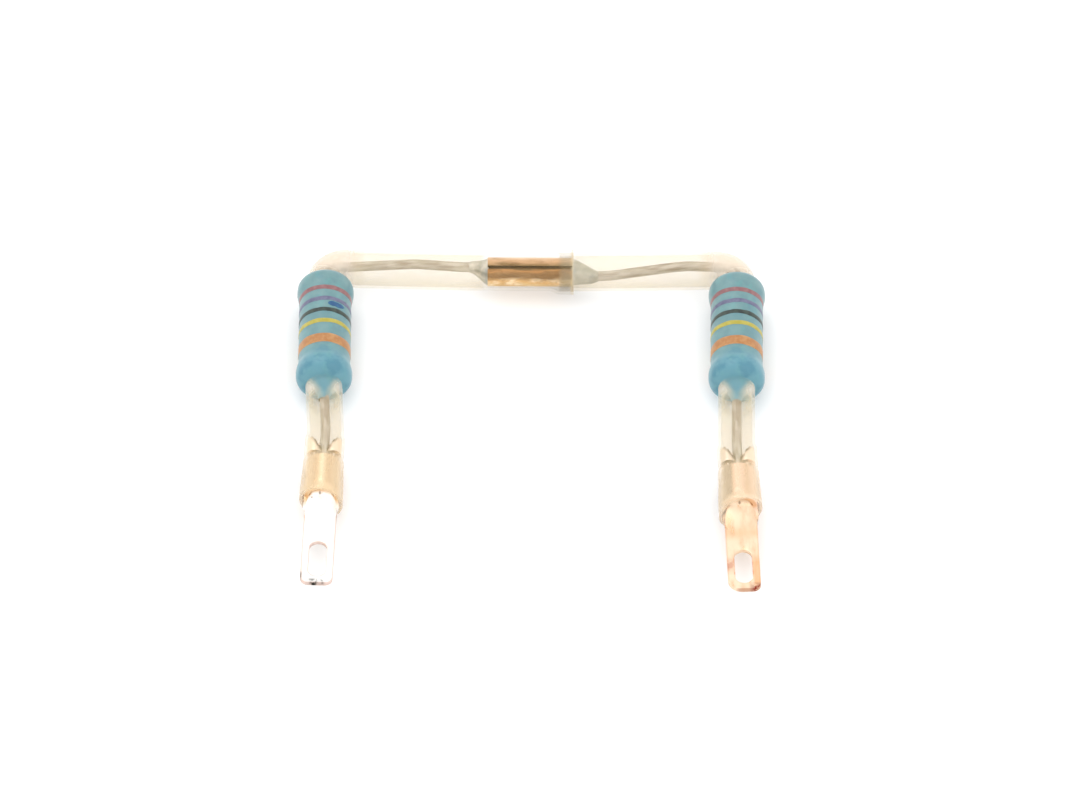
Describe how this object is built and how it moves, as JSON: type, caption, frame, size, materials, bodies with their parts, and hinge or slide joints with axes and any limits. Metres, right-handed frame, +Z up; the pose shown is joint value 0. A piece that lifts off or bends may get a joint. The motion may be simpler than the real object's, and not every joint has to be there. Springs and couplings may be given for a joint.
{
  "type": "resistor pair with tab terminals",
  "caption": "Banded axial resistors wired in series by a sleeved, soldered splice and lying flat as a U; each free lead is crimped into a slotted solder tab.",
  "frame": {"origin": "centre of the bounding box's base, on the surface that the resistors' bulges lie on", "axes": "+X from the left leg to the right leg, +Y from the tabs to the bridge, +Z up"},
  "size_m": [0.0331, 0.0318, 0.004],
  "materials": {
    "lacquer": "glossy light-blue lacquer",
    "ceramic": "fired, matte",
    "cap_metal": "pressed and plated",
    "tinned_wire": "dull tinned copper",
    "red_paint": "paint ring",
    "violet_paint": "paint ring",
    "black_paint": "paint ring",
    "yellow_paint": "paint ring",
    "brown_paint": "paint ring",
    "blue_ink": "ink dab",
    "clear_sleeve": "clear, slightly milky",
    "left_tab_metal": "tinned, bright",
    "right_tab_metal": "bare copper alloy with worn tin",
    "left_tab_solder": "bright solder",
    "right_tab_solder": "solder stained by flux",
    "copper": "aged copper",
    "solder": "dull solder"
  },
  "bodies": {
    "root": {"left_lacquer_coat": "lacquer", "left_ceramic_rod": "ceramic", "left_upper_cap": "cap_metal", "left_lower_cap": "cap_metal", "left_bridge_lead": "tinned_wire", "left_terminal_lead": "tinned_wire", "left_red_band": "red_paint", "left_violet_band": "violet_paint", "left_black_band": "black_paint", "left_yellow_band": "yellow_paint", "left_tolerance_band": "brown_paint", "left_bridge_sleeve": "clear_sleeve", "left_terminal_sleeve": "clear_sleeve", "left_tab_terminal": "left_tab_metal", "left_barrel_solder": "left_tab_solder", "right_lacquer_coat": "lacquer", "right_ceramic_rod": "ceramic", "right_upper_cap": "cap_metal", "right_lower_cap": "cap_metal", "right_bridge_lead": "tinned_wire", "right_terminal_lead": "tinned_wire", "right_red_band": "red_paint", "right_violet_band": "violet_paint", "right_black_band": "black_paint", "right_yellow_band": "yellow_paint", "right_tolerance_band": "brown_paint", "right_bridge_sleeve": "clear_sleeve", "right_terminal_sleeve": "clear_sleeve", "right_tab_terminal": "right_tab_metal", "right_barrel_solder": "right_tab_solder", "left_ink_dab": "blue_ink", "splice_sleeve": "copper", "splice_solder": "solder"}
  },
  "joints": []
}
